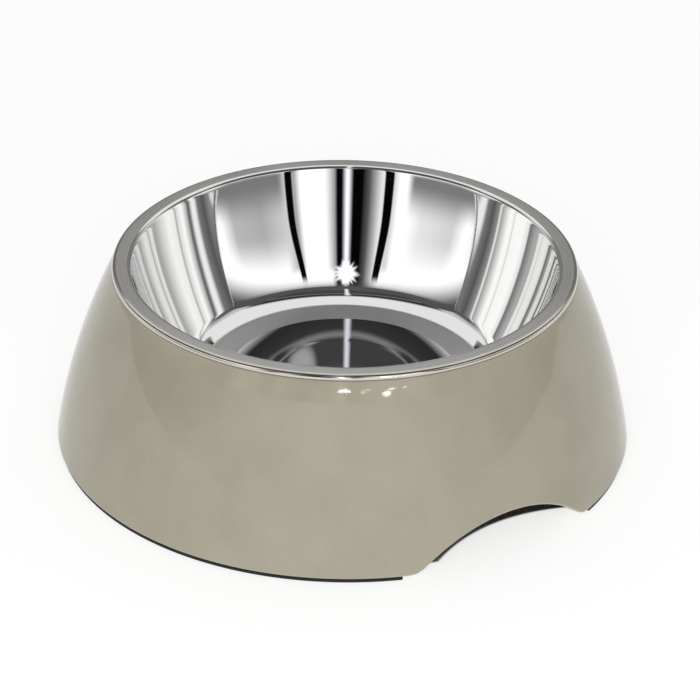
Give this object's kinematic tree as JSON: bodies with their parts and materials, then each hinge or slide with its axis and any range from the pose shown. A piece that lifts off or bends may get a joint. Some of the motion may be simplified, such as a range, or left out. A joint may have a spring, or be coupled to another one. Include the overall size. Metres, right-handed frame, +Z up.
{
  "type": "pet bowl",
  "caption": "Round pet bowl: a glossy flared melamine stand with finger notches and rubber foot strips, holding a polished steel bowl that lifts out for filling and washing.",
  "frame": {"origin": "middle of the base, on the surface that the bowl stands on", "axes": "+Z up along the turning axis of the stand and the steel bowl, X through the two finger notches, Y across them"},
  "size_m": [0.2124, 0.2188, 0.0724],
  "materials": {
    "melamine": "gloss",
    "polished_steel": "polished",
    "rubber": "matte"
  },
  "bodies": {
    "stand": {"melamine_stand": "melamine", "front_foot_strip": "rubber", "rear_foot_strip": "rubber"},
    "bowl": {"steel_bowl": "polished_steel"}
  },
  "joints": [
    {"name": "bowl_lift", "type": "slide", "parent": "stand", "child": "bowl", "axis": [0, 0, 1], "range_m": [0, 0.08]}
  ]
}
